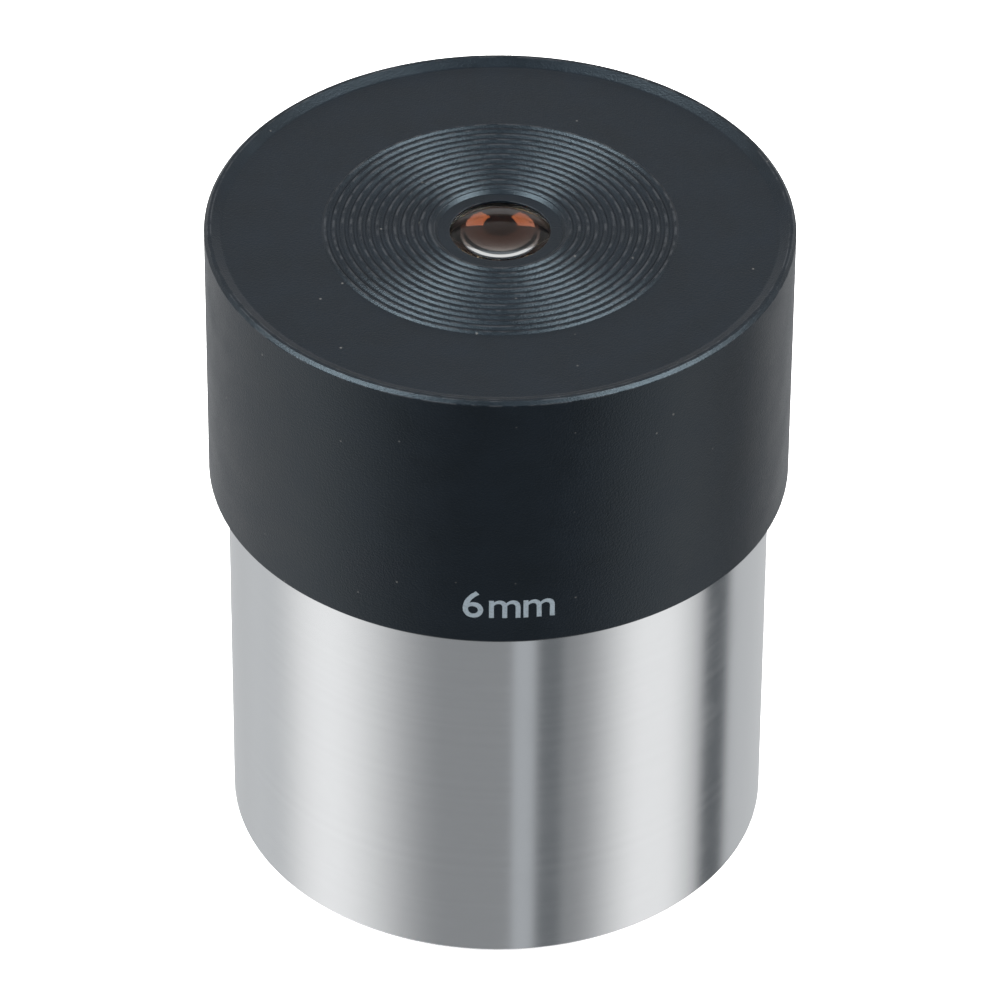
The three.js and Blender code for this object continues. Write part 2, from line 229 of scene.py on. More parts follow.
def sag(curve: float, radius: Array) -> Array:
    """Depth of a sphere below its vertex: curve - sqrt(curve^2 - radius^2)."""
    return curve - np.sqrt(curve * curve - radius * radius)


# ---------------------------------------------------------------------------
# Meshes
# ---------------------------------------------------------------------------


def mesh_object(name: str, verts: Array, faces: list) -> bpy.types.Object:
    """Make a smooth-shaded object at the origin, sharp only at real edges.

    Args:
        name: the object's name.
        verts: vertex positions in metres, one row each.
        faces: vertex indices of each face.

    Returns:
        The linked object.
    """
    mesh = bpy.data.meshes.new(name)
    mesh.from_pydata(verts, [], faces)
    mesh.polygons.foreach_set("use_smooth", np.ones(len(mesh.polygons), bool))
    mesh.set_sharp_from_angle(angle=SHARP_ANGLE)
    mesh.update()
    piece = bpy.data.objects.new(name, mesh)
    bpy.context.scene.collection.objects.link(piece)
    return piece


def revolve(name: str, profile: Profile, segments: int, thread: Thread | None = None) -> bpy.types.Object:
    """Carry a closed outline round the axis.

    Point (i, j) of the grid is (r cos a, r sin a, z), with r and z from outline point i, r moved by
    the thread where there is one, and a the j-th share of a full turn. Both directions close.

    Args:
        name: the object's name.
        profile: the closed outline.
        segments: steps round the axis.
        thread: the screw thread to cut, if any.

    Returns:
        The object, with the outline's edge mark as a point attribute.
    """
    if thread:
        profile = profile.with_rows(thread.radius, thread.low, thread.high, thread.row_spacing)
    angle = np.arange(segments)[None, :] * (2 * math.pi / segments)
    radius = profile.points[:, :1] + np.zeros_like(angle)
    height = profile.points[:, 1:] + np.zeros_like(angle)
    if thread:
        radius = radius + thread.cut(profile.points[:, :1], profile.points[:, 1:], angle)
    verts = np.stack([radius * np.cos(angle), radius * np.sin(angle), height], axis=-1)
    rows = len(profile.points)
    row, column = np.meshgrid(np.arange(rows), np.arange(segments), indexing="ij")
    above, beside = (row + 1) % rows, (column + 1) % segments
    loop = [row * segments + column, row * segments + beside]
    loop += [above * segments + beside, above * segments + column]
    faces = np.stack(loop, axis=-1).reshape(-1, 4)
    piece = mesh_object(name, verts.reshape(-1, 3) * MM, faces.tolist())
    edge = piece.data.attributes.new("edge", "FLOAT", "POINT")
    edge.data.foreach_set("value", np.repeat(profile.edge, segments).astype(np.float32))
    return piece


def revolve_solid(name: str, outline: Array, segments: int) -> bpy.types.Object:
    """Carry an outline that starts and ends on the axis round it, closed by a fan at each pole.

    Args:
        name: the object's name.
        outline: radius and height of each point, from the lower pole out and up to the upper.
        segments: steps round the axis.

    Returns:
        The object.
    """
    angle = np.arange(segments)[None, :] * (2 * math.pi / segments)
    radius, height = outline[1:-1, :1], outline[1:-1, 1:]
    level = height + np.zeros_like(angle)
    ring = np.stack([radius * np.cos(angle), radius * np.sin(angle), level], axis=-1)
    poles = [[[0, 0, outline[0, 1]]], [[0, 0, outline[-1, 1]]]]
    verts = np.concatenate([ring.reshape(-1, 3), *poles])
    rows = len(radius)
    row, column = np.meshgrid(np.arange(rows - 1), np.arange(segments), indexing="ij")
    beside = (column + 1) % segments
    loop = [row * segments + column, row * segments + beside]
    loop += [(row + 1) * segments + beside, (row + 1) * segments + column]
    quads = np.stack(loop, axis=-1).reshape(-1, 4)
    first = np.arange(segments)
    after = (first + 1) % segments
    last = (rows - 1) * segments
    lower = np.stack([np.full(segments, rows * segments), after, first], axis=-1)
    upper = np.stack([np.full(segments, rows * segments + 1), first + last, after + last], axis=-1)
    return mesh_object(name, verts * MM, quads.tolist() + lower.tolist() + upper.tolist())


def place(piece: bpy.types.Object, body: Body, slot: Slot, *nodes: str) -> None:
    """Ride a piece on its body and hide the CAD nodes that it stands for.

    Args:
        piece: the finished object.
        body: the body that carries it.
        slot: the record's material slot; not used.
        nodes: the CAD nodes that it replaces.
    """
    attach(piece, body.value)
    if nodes:
        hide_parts(*nodes)
    log.info("%s: %d faces on %s", piece.name, len(piece.data.polygons), body.value)


# ---------------------------------------------------------------------------
# Shader building
# ---------------------------------------------------------------------------


@dataclass
class Shading:
    """Adds nodes to a shader tree, each with its settings and inputs in one call."""

    tree: bpy.types.NodeTree

    def add(self, kind: str, inputs: dict | None = None, **settings) -> bpy.types.Node:
        """Add a node.

        Args:
            kind: the node's type without its ShaderNode prefix.
            inputs: values or output sockets, by input name or index.
            settings: properties of the node.

        Returns:
            The node.
        """
        node = self.tree.nodes.new("ShaderNode" + kind)
        for name, value in settings.items():
            setattr(node, name, value)
        for key, value in (inputs or {}).items():
            if isinstance(value, Socket):
                self.tree.links.new(value, node.inputs[key])
            else:
                node.inputs[key].default_value = value
        return node

    def math(self, operation: str, *values: float | Socket) -> Socket:
        """Apply a math operation to one, two or three values or sockets."""
        return self.add("Math", dict(enumerate(values)), operation=operation).outputs[0]

    def ramp(self, value: Socket, low: float, high: float, to: tuple = (0, 1)) -> Socket:
        """Carry a value from one range to another along a smooth step.

        Args:
            value: the socket to read.
            low: where the step starts. It may lie above high, which turns the step round.
            high: where the step ends.
            to: results at low and at high.

        Returns:
            The result.
        """
        inputs = {"Value": value, "From Min": low, "From Max": high}
        inputs |= {"To Min": to[0], "To Max": to[1]}
        return self.add("MapRange", inputs, interpolation_type="SMOOTHSTEP").outputs["Result"]

    def blend(self, factor: float | Socket, first: tuple | Socket, second: tuple | Socket) -> Socket:
        """Mix two colours."""
        node = self.add("Mix", data_type="RGBA")
        sockets = (node.inputs[0], node.inputs[6], node.inputs[7])
        for socket, value in zip(sockets, (factor, first, second)):
            if isinstance(value, Socket):
                self.tree.links.new(value, socket)
            else:
                socket.default_value = value
        return node.outputs[2]


def grey(level: float) -> tuple[float, float, float, float]:
    """A neutral colour."""
    return (level, level, level, 1.0)


@dataclass(frozen=True)
class Group:
    """A shader node group with named float inputs and outputs, built once by its subclass."""

    name: str = ""
    inputs: tuple[str, ...] = ()
    outputs: tuple[str, ...] = ()

    def build(self, shading: Shading, given: dict[str, Socket]) -> dict[str, Socket]:
        """Add the group's nodes.

        Args:
            shading: the group's own tree.
            given: the group's input sockets by name.

        Returns:
            The sockets to put out, by name.
        """
        raise NotImplementedError

    def tree(self) -> bpy.types.NodeTree:
        """Fetch the group's tree, building it the first time."""
        if self.name in bpy.data.node_groups:
            return bpy.data.node_groups[self.name]
        tree = bpy.data.node_groups.new(self.name, "ShaderNodeTree")
        for name in self.inputs:
            tree.interface.new_socket(name, in_out="INPUT", socket_type="NodeSocketFloat")
        for name in self.outputs:
            tree.interface.new_socket(name, in_out="OUTPUT", socket_type="NodeSocketFloat")
        source = tree.nodes.new("NodeGroupInput")
        sink = tree.nodes.new("NodeGroupOutput")
        results = self.build(Shading(tree), {n: source.outputs[n] for n in self.inputs})
        for name in self.outputs:
            tree.links.new(results[name], sink.inputs[name])
        return tree

    def use(self, shading: Shading, **values: float) -> dict[str, Socket]:
        """Place the group in a material.

        Args:
            shading: the material's tree.
            values: the group's inputs, in lower case with underscores.

        Returns:
            Its outputs by name.
        """
        node = shading.add("Group")
        node.node_tree = self.tree()
        for name in self.inputs:
            node.inputs[name].default_value = values[name.lower().replace(" ", "_")]
        return {name: node.outputs[name] for name in self.outputs}


class TurnedLines(Group):
    """Fine lathe lines: noise along the radius on flat faces and along the axis on walls."""

    def __init__(self) -> None:
        super().__init__("Turned Lines", ("Lines per mm", "Waviness"), ("Height", "Tone"))

    def build(self, shading: Shading, given: dict[str, Socket]) -> dict[str, Socket]:
        """Noise of one dimension, read along the direction in which the tool was fed."""
        place_at = shading.add("TexCoord").outputs["Object"]
        part = shading.add("SeparateXYZ", {0: place_at}).outputs
        squares = [shading.math("MULTIPLY", part[axis], part[axis]) for axis in (0, 1)]
        radius = shading.math("SQRT", shading.math("ADD", *squares))
        normal = shading.add("NewGeometry").outputs["True Normal"]
        upright = shading.math("ABSOLUTE", shading.add("SeparateXYZ", {0: normal}).outputs[2])
        flat = shading.ramp(upright, 0.6, 0.8)
        across = shading.math("MULTIPLY", radius, flat)
        along = shading.math("MULTIPLY", part[2], shading.math("SUBTRACT", 1.0, flat))
        drift = shading.add("TexNoise", {"Vector": place_at, "Scale": 90.0, "Detail": 1.0}).outputs[0]
        wander = shading.math("MULTIPLY", shading.math("MULTIPLY", drift, given["Waviness"]), MM)
        feed = shading.math("ADD", shading.math("ADD", across, along), wander)
        turns = shading.math("MULTIPLY", feed, shading.math("DIVIDE", given["Lines per mm"], MM))
        noise = {"W": turns, "Scale": 1.0, "Detail": 3.0, "Roughness": 0.7}
        lines = shading.add("TexNoise", noise, noise_dimensions="1D").outputs[0]
        bands = {"W": turns, "Scale": 0.07, "Detail": 2.0}
        slow = shading.add("TexNoise", bands, noise_dimensions="1D")
        tone = shading.math("MULTIPLY_ADD", slow.outputs[0], 0.6, shading.math("MULTIPLY", lines, 0.4))
        return {"Height": lines, "Tone": tone}


class SatinGrain(Group):
    """The even, very fine grain that blasting or anodising leaves."""

    def __init__(self) -> None:
        super().__init__("Satin Grain", ("Grains per mm",), ("Height", "Tone"))

    def build(self, shading: Shading, given: dict[str, Socket]) -> dict[str, Socket]:
        """Fine solid noise for the height, and a mix of fine and broad noise for the tone."""
        place_at = shading.add("TexCoord").outputs["Object"]
        scale = shading.math("DIVIDE", given["Grains per mm"], MM)
        fine = {"Vector": place_at, "Scale": scale, "Detail": 2.0, "Roughness": 0.6}
        height = shading.add("TexNoise", fine).outputs[0]
        broad = {"Vector": place_at, "Scale": shading.math("MULTIPLY", scale, 0.04), "Detail": 3.0}
        tone = shading.math("MULTIPLY_ADD", shading.add("TexNoise", broad).outputs[0], 0.5,
                            shading.math("MULTIPLY", height, 0.5))
        return {"Height": height, "Tone": tone}


class EdgeWear(Group):
    """Rubbed edges: the piece's edge mark, broken up by noise."""

    def __init__(self) -> None:
        super().__init__("Edge Wear", ("Amount", "Patches per mm"), ("Mask",))

    def build(self, shading: Shading, given: dict[str, Socket]) -> dict[str, Socket]:
        """The edge attribute times a stepped noise, times the amount."""
        edge = shading.add("Attribute", attribute_name="edge").outputs["Fac"]
        place_at = shading.add("TexCoord").outputs["Object"]
        scale = shading.math("DIVIDE", given["Patches per mm"], MM)
        patch = shading.add("TexNoise", {"Vector": place_at, "Scale": scale, "Detail": 4.0}).outputs[0]
        broken = shading.ramp(patch, 0.42, 0.6)
        mask = shading.math("MULTIPLY", shading.math("MULTIPLY", edge, broken), given["Amount"])
        return {"Mask": mask}


class Handling(Group):
    """Faint smudges and a few dust specks."""

    def __init__(self) -> None:
        super().__init__("Handling", ("Smudge", "Dust"), ("Smudges", "Specks"))

    def build(self, shading: Shading, given: dict[str, Socket]) -> dict[str, Socket]:
        """Broad stepped noise for the smudges, and the hearts of sparse cells for the specks."""
        place_at = shading.add("TexCoord").outputs["Object"]
        cloud = {
            "Vector": place_at, "Scale": 160.0, "Detail": 5.0, "Roughness": 0.55, "Distortion": 0.6}
        smear = shading.ramp(shading.add("TexNoise", cloud).outputs[0], 0.5, 0.72)
        cells = shading.add("TexVoronoi", {"Vector": place_at, "Scale": 900.0, "Randomness": 1.0})
        heart = shading.ramp(cells.outputs["Distance"], 0.09, 0.03)
        chance = shading.add("SeparateXYZ", {0: cells.outputs["Color"]}).outputs[0]
        rare = shading.math("GREATER_THAN", chance, 0.8)
        specks = shading.math("MULTIPLY", shading.math("MULTIPLY", heart, rare), given["Dust"])
        return {"Smudges": shading.math("MULTIPLY", smear, given["Smudge"]), "Specks": specks}


# ---------------------------------------------------------------------------
# Finishes
# ---------------------------------------------------------------------------


def new_material(name: str) -> tuple[bpy.types.Material, Shading, bpy.types.Node]:
    """Make a material with a Principled shader.

    Args:
        name: the material's name.

    Returns:
        The material, its tree's builder and the shader node.
    """
    material = bpy.data.materials.new(name)
    material.use_nodes = True
    material.node_tree.nodes.clear()
    shading = Shading(material.node_tree)
    shader = shading.add("BsdfPrincipled")
    shading.add("OutputMaterial", {"Surface": shader.outputs[0]})
    return material, shading, shader


def connect(shading: Shading, shader: bpy.types.Node, **sockets: Socket) -> None:
    """Link sockets to a shader's inputs, named in lower case with underscores."""
    for name, socket in sockets.items():
        shading.tree.links.new(socket, shader.inputs[name.replace("_", " ").title()])


@dataclass(frozen=True)
class TurnedMetal:
    """A turned, anodised, plated or blackened metal surface."""

    name: str
    color: tuple[float, float, float]
    worn: tuple[float, float, float]
    metallic: float = 0.0
    roughness: float = 0.35
    roughness_spread: float = 0.06
    tone_spread: float = 0.15
    lines_per_mm: float = 16.0
    line_height: float = 0.0004
    waviness: float = 0.03
    line_tone: float = 1.0
    grains_per_mm: float = 30.0
    grain_height: float = 0.0004
    wear: float = 0.3
    smudge: float = 0.3
    dust: float = 0.2
    anisotropy: float = 0.0
    ior: float = 1.5
    tint: tuple[float, float, float] = (1.0, 1.0, 1.0)

    def material(self) -> bpy.types.Material:
        """Build the finish.

        Colour runs from dark to light with the lathe lines and grain, and towards the worn colour
        on rubbed edges and dust. Roughness follows the same grain and rises in the smudges. Lines
        and grain are raised by a bump each.

        Returns:
            The material.
        """
        material, shading, shader = new_material(self.name)
        lines = TurnedLines().use(shading, lines_per_mm=self.lines_per_mm, waviness=self.waviness)
        grain = SatinGrain().use(shading, grains_per_mm=self.grains_per_mm)
        wear = EdgeWear().use(shading, amount=self.wear, patches_per_mm=1.4)["Mask"]
        marks = Handling().use(shading, smudge=self.smudge, dust=self.dust)
        middle = 0.5 * (1 - self.line_tone)
        streaks = shading.math("MULTIPLY_ADD", lines["Tone"], self.line_tone, middle)
        tone = shading.math("ADD", streaks, grain["Tone"])
        dark = tuple(c * (1 - self.tone_spread) for c in self.color) + (1.0,)
        light = tuple(c * (1 + self.tone_spread) for c in self.color) + (1.0,)
        base = shading.blend(shading.ramp(tone, 0.7, 1.3), dark, light)
        base = shading.blend(wear, base, self.worn + (1.0,))
        base = shading.blend(marks["Specks"], base, (0.32, 0.31, 0.29, 1.0))
        spread = (self.roughness - self.roughness_spread, self.roughness + self.roughness_spread)
        rough = shading.ramp(tone, 0.7, 1.3, spread)
        smudged = shading.math("MULTIPLY", marks["Smudges"], 0.12)
        rough = shading.math("ADD", rough, smudged)
        ridges = {"Height": lines["Height"], "Distance": self.line_height * MM, "Strength": 1.0}
        ridged = shading.add("Bump", ridges).outputs[0]
        pits = {"Height": grain["Height"], "Distance": self.grain_height * MM, "Normal": ridged}
        grained = shading.add("Bump", pits).outputs[0]
        connect(shading, shader, base_color=base, roughness=rough, normal=grained)
        shader.inputs["Metallic"].default_value = self.metallic
        shader.inputs["IOR"].default_value = self.ior
        shader.inputs["Specular Tint"].default_value = self.tint + (1.0,)
        if self.anisotropy:
            round_axis = shading.add("Tangent", direction_type="RADIAL", axis="Z").outputs[0]
            shader.inputs["Anisotropic"].default_value = self.anisotropy
            shader.inputs["Anisotropic Rotation"].default_value = 0.25
            connect(shading, shader, tangent=round_axis)
        return material


@dataclass(frozen=True)
class LensSurface:
    """A polished lens face, with a coating that tints what it reflects."""

    name: str
    ior: float
    reflection: tuple[float, float, float]
    strength: float = 0.5

    def material(self) -> bpy.types.Material:
        """Build clear glass, duller at its few specks of dust and faintly tinted by smudges.

        Returns:
            The material.
        """
        material, shading, shader = new_material(self.name)
        marks = Handling().use(shading, smudge=0.5, dust=0.3)
        rough = shading.math("MULTIPLY", marks["Specks"], 0.15)
        tint = shading.blend(marks["Smudges"], (1.0, 0.99, 0.97, 1.0), (0.97, 0.96, 0.93, 1.0))
        connect(shading, shader, roughness=rough, base_color=tint)
        shader.inputs["Transmission Weight"].default_value = 1.0
        shader.inputs["IOR"].default_value = self.ior
        shader.inputs["Specular IOR Level"].default_value = self.strength
        shader.inputs["Specular Tint"].default_value = self.reflection + (1.0,)
        return material


@dataclass(frozen=True)
class GroundRim:
    """The ground rim of a lens, left pale or painted black."""

    name: str
    dark: float
    light: float

    def material(self) -> bpy.types.Material:
        """Build a matte, finely pitted surface.

        Returns:
            The material.
        """
        material, shading, shader = new_material(self.name)
        grain = SatinGrain().use(shading, grains_per_mm=20.0)
        base = shading.blend(grain["Tone"], grey(self.dark), grey(self.light))
        rough = shading.ramp(grain["Tone"], 0.2, 0.8, (0.6, 0.85))
        pits = {"Height": grain["Height"], "Distance": 0.002 * MM}
        bumped = shading.add("Bump", pits).outputs[0]
        connect(shading, shader, base_color=base, roughness=rough, normal=bumped)
        return material


@dataclass(frozen=True)
class MarkPaint:
    """Light grey paint in the lettering on the head."""

    name: str = "mark_paint"
    color: tuple[float, float, float] = (0.2, 0.24, 0.27)

    def material(self) -> bpy.types.Material:
        """Build slightly uneven, thinly laid paint.

        Returns:
            The material.
        """
        material, shading, shader = new_material(self.name)
        grain = SatinGrain().use(shading, grains_per_mm=8.0)
        thin = tuple(c * 0.75 for c in self.color) + (1.0,)
        base = shading.blend(shading.ramp(grain["Height"], 0.3, 0.55), thin, self.color + (1.0,))
        rough = shading.ramp(grain["Tone"], 0.3, 0.7, (0.5, 0.7))
        bumped = shading.add("Bump", {"Height": grain["Height"], "Distance": 0.004 * MM}).outputs[0]
        connect(shading, shader, base_color=base, roughness=rough, normal=bumped)
        return material


HEAD_BLACK = TurnedMetal(
    "black_anodised_head", (0.0012, 0.0022, 0.0042), (0.05, 0.052, 0.056), roughness=0.35,
    tone_spread=0.4, line_tone=0.1, line_height=0.00002, grains_per_mm=9.0, grain_height=0.02,
    ior=1.7, tint=(0.27, 0.35, 0.4))
CELL_BLACK = TurnedMetal(
    "black_cell", (0.008, 0.008, 0.009), (0.06, 0.06, 0.06), roughness=0.55, wear=0.2)
BRIGHT_CHROME = TurnedMetal(
    "bright_chrome", (0.68, 0.69, 0.7), (0.72, 0.72, 0.72), metallic=1.0, roughness=0.16,
    roughness_spread=0.015, tone_spread=0.012, lines_per_mm=30.0, line_height=0.00012,
    grain_height=0.00004, wear=0.2, smudge=0.25, dust=0.05, anisotropy=0.7)
BLACKENED_BRASS = TurnedMetal(
    "blackened_brass", (0.022, 0.019, 0.016), (0.32, 0.22, 0.1), roughness=0.5, wear=0.55)
EYE_SIDE = LensSurface("eye_lens_outer_coat", 1.52, (0.04, 0.08, 0.1))
EYE_INSIDE = LensSurface("eye_lens_inner_coat", 1.52, (0.75, 0.2, 0.07))
TRIPLET_COAT = LensSurface("triplet_coat", 1.15, (0.2, 0.2, 0.25))
BLACK_RIM = GroundRim("blackened_lens_rim", 0.004, 0.02)
CEMENT = LensSurface("cemented_surface", 1.02, (1.0, 1.0, 1.0))


# ---------------------------------------------------------------------------
# Sub-assemblies
# ---------------------------------------------------------------------------


@dataclass
class Barrel:
    """The plain 1.25 inch barrel: filter thread below, threaded spigot above."""

    box: NodeBox = field(default_factory=lambda: NodeBox.of("barrel"))
    wall: float = 2.375
    end_chamfer: float = 0.3
    filter_step: float = 0.75
    filter_length: float = 5.0
    filter_pitch: float = 0.6
    filter_lead_in: float = 0.35
    filter_thread_depth: float = 0.28
    spigot_wall: float = 1.25
    spigot_length: float = 5.0
    spigot_pitch: float = 0.75
    spigot_thread_depth: float = 0.35
    relief_depth: float = 0.4
    relief_width: float = 0.8
    lead_in: float = 0.3
    segments: int = 384

    def outline(self) -> list[Corner]:
        """Corners of the barrel's section: radius, height and fillet."""
        low, high = self.box.low, self.box.high
        outer = self.box.radius
        bore = outer - self.wall
        filter_bore = bore + self.filter_step
        spigot = bore + self.spigot_wall
        relief = spigot - self.relief_depth
        seat = high - self.spigot_length
        return [
            (filter_bore + self.filter_lead_in, low, 0.05),
            (outer - self.end_chamfer, low, 0.08),
            (outer, low + self.end_chamfer, 0.08),
            (outer, seat, 0.06),
            (relief, seat, 0.1),
            (relief, seat + self.relief_width, 0.1),
            (spigot, seat + self.relief_width, 0.03),
            (spigot, high - self.lead_in, 0.05),
            (spigot - self.lead_in, high, 0.03),
            (bore, high, 0.05),
            (bore, low + self.filter_length, 0.04),
            (filter_bore, low + self.filter_length, 0.06),
            (filter_bore, low + self.filter_lead_in, 0.04),
        ]

    def build(self) -> None:
        """Make the barrel and cut both threads into it."""
        low, high = self.box.low, self.box.high
        bore = self.box.radius - self.wall
        spigot = bore + self.spigot_wall
        filter_bore = bore + self.filter_step
        seat = high - self.spigot_length
        top = Thread(
            spigot, seat + self.relief_width, high - self.lead_in, self.spigot_pitch,
            self.spigot_thread_depth)
        bottom = Thread(
            filter_bore, low + self.filter_lead_in, low + self.filter_length, self.filter_pitch,
            self.filter_thread_depth)
        profile = rounded(self.outline())
        profile = profile.with_rows(top.radius, top.low, top.high, top.row_spacing)
        piece = revolve("turned_barrel", profile, self.segments, bottom)
        self.cut_spigot(piece, top)
        piece.data.materials.append(BRIGHT_CHROME.material())
        place(piece, Body.BARREL, Slot.BARREL, "barrel")

    @staticmethod
    def cut_spigot(piece: bpy.types.Object, thread: Thread) -> None:
        """Cut a second thread by moving the finished mesh's points along their radius.

        Args:
            piece: the barrel.
            thread: the spigot's thread.
        """
        points = np.empty(len(piece.data.vertices) * 3)
        piece.data.vertices.foreach_get("co", points)
        points = points.reshape(-1, 3)
        radius = np.hypot(points[:, 0], points[:, 1])
        angle = np.arctan2(points[:, 1], points[:, 0])
        moved = radius + MM * thread.cut(radius / MM, points[:, 2] / MM, angle)
        points[:, :2] *= (moved / radius)[:, None]
        piece.data.vertices.foreach_set("co", points.reshape(-1))
        piece.data.update()


@dataclass
class Head:
    """The black head: ridged face, eye opening, and the bores that hold the cell."""

    box: NodeBox = field(default_factory=lambda: NodeBox.of("head_shell"))
    cell: NodeBox = field(default_factory=lambda: NodeBox.of("lens_cell"))
    ring: NodeBox = field(default_factory=lambda: NodeBox.of("cell_lock_ring"))
    barrel: NodeBox = field(default_factory=lambda: NodeBox.of("barrel"))
    rim_chamfer: float = 0.2
    rim_width: float = 0.2
    rim_ramp: float = 0.6
    face_recess: float = 0.33
    face_web: float = 1.2
    eye_radius: float = 2.9
    eye_lip: float = 0.15
    recess_depth: float = 0.2
    recess_slope: float = 0.2
    first_ridge: float = 4.041
    ridge_count: int = 13
    ridge_pitch: float = 0.502
    ridge_height: float = 0.15
    ridge_flank: float = 0.19
    shoulder_recess: float = 0.5
    clearance: float = 0.1
    thread_radius: float = 14.85
    thread_pitch: float = 0.75
    thread_depth: float = 0.35
    thread_runout: float = 1.0
    flange_space: float = 1.7
    cell_tube_radius: float = 8.6
    nose_radius: float = 5.0
    paint_film: float = 0.006
    segments: int = 232

    def ridges(self, face: float) -> list[Corner]:
        """Corners of the ridges from the outermost inwards: foot, crest, foot.

        Args:
            face: the height of the face that the ridges stand on.

        Returns:
            Radius, height and fillet of each corner.
        """
        corners = []
        for ridge in reversed(range(self.ridge_count)):
            radius = self.first_ridge + ridge * self.ridge_pitch
            corners.append((radius + self.ridge_flank, face, 0.04))
            corners.append((radius, face + self.ridge_height, 0.09))
            corners.append((radius - self.ridge_flank, face, 0.04))
        return corners

    def outline(self) -> list[Corner]:
        """Corners of the head's section: radius, height and fillet."""
        low, rim, outer = self.box.low, self.box.high, self.box.radius - self.paint_film
        face = rim - self.face_recess
        seat = low + self.shoulder_recess
        rim_inner = outer - self.rim_chamfer - self.rim_width
        ring_bore = self.ring.radius + self.clearance
        recess = face - self.recess_depth
        recess_edge = self.first_ridge - self.ridge_pitch / 2
        lip = recess - self.eye_lip
        cell_top = face - self.face_web
        flange_seat = self.ring.high + self.flange_space
        barrel_bore = self.barrel.radius + self.clearance
        runout = self.barrel.high + self.thread_runout
        return [
            (self.thread_radius, seat, 0.05),
            (barrel_bore, seat, 0.05),
            (barrel_bore, low, 0.05),
            (outer - self.rim_chamfer, low, 0.05),
            (outer, low + self.rim_chamfer, 0.08),
            (outer, rim - self.rim_chamfer, 0.08),
            (outer - self.rim_chamfer, rim, 0.06),
            (rim_inner, rim, 0.1),
            (rim_inner - self.rim_ramp, face, 0.3),
            *self.ridges(face),
            (recess_edge, face, 0.03),
            (recess_edge - self.recess_slope, recess, 0.05),
            (self.eye_radius, recess, 0.02),
            (self.eye_radius, lip, 0.02),
            (self.nose_radius, lip, 0.04),
            (self.nose_radius, cell_top, 0.04),
            (self.cell_tube_radius, cell_top, 0.1),
            (self.cell_tube_radius, flange_seat, 0.05),
            (ring_bore, flange_seat, 0.06),
            (ring_bore, runout, 0.04),
            (self.thread_radius, runout, 0.06),
        ]

    def build(self) -> None:
        """Make the shell with its female thread, and the mark."""
        seat = self.box.low + self.shoulder_recess
        top = self.barrel.high + self.thread_runout
        thread = Thread(self.thread_radius, seat, top, self.thread_pitch, -self.thread_depth)
        shell = revolve("turned_head", rounded(self.outline()), self.segments, thread)
        shell.data.materials.append(HEAD_BLACK.material())
        place(shell, Body.HEAD, Slot.HEAD, "head_shell")
        self.add_mark()

    def add_mark(self) -> None:
        """Wrap the focal length mark round the front of the head, near its lower edge."""
        mark = WrappedText("6 mm", height=1.85, radius=self.box.radius, low=self.box.low + 1.95)
        piece = mark.build("focal_length_mark")
        piece.data.materials.append(MarkPaint().material())
        place(piece, Body.HEAD, Slot.HEAD)


@dataclass
class WrappedText:
    """Thin raised lettering on a cylinder, read from outside with the axis upright."""

    text: str
    height: float
    radius: float
    low: float
    bearing: float = math.radians(2.2)
    thickness: float = 0.012
    longest_edge: float = 0.25

    def build(self, name: str) -> bpy.types.Object:
        """Make the lettering a fine flat mesh and bend it: x becomes an angle of x / radius.

        Args:
            name: the object's name.

        Returns:
            The object, at the origin, with its place in its mesh.
        """
        curve = bpy.data.curves.new(name, "FONT")
        curve.body = self.text
        curve.align_x = "CENTER"
        curve.size = self.height * 1.45
        curve.space_word = 0.45
        curve.space_character = 0.92
        curve.offset = 0.02
        curve.extrude = self.thickness / 2
        curve.resolution_u = 6
        source = bpy.data.objects.new(name + "_flat", curve)
        bpy.context.scene.collection.objects.link(source)
        bpy.context.view_layer.update()
        graph = bpy.context.evaluated_depsgraph_get()
        flat = bpy.data.meshes.new_from_object(source.evaluated_get(graph))
        bpy.data.objects.remove(source)
        self.refine(flat)
        points = np.empty(len(flat.vertices) * 3)
        flat.vertices.foreach_get("co", points)
        across, up, out = points.reshape(-1, 3).T
        angle = across / self.radius + self.bearing
        radius = self.radius - self.thickness / 2 + out
        bent = np.stack([radius * np.sin(angle), -radius * np.cos(angle), self.low + up], axis=-1)
        flat.vertices.foreach_set("co", (bent * MM).reshape(-1))
        flat.update()
        piece = bpy.data.objects.new(name, flat)
        bpy.context.scene.collection.objects.link(piece)
        return piece

    def refine(self, flat: bpy.types.Mesh) -> None:
        """Merge the letters' doubles, then split edges until none is long enough to cut the curve.

        Args:
            flat: the lettering, still flat.
        """
        work = bmesh.new()
        work.from_mesh(flat)
        bmesh.ops.remove_doubles(work, verts=work.verts, dist=1e-5)
        bmesh.ops.triangulate(work, faces=work.faces)
        long_edges = [e for e in work.edges if e.calc_length() > self.longest_edge]
        while long_edges:
            bmesh.ops.subdivide_edges(work, edges=long_edges, cuts=1)
            bmesh.ops.triangulate(work, faces=work.faces)
            long_edges = [e for e in work.edges if e.calc_length() > self.longest_edge]
        bmesh.ops.recalc_face_normals(work, faces=work.faces)
        work.to_mesh(flat)
        work.free()


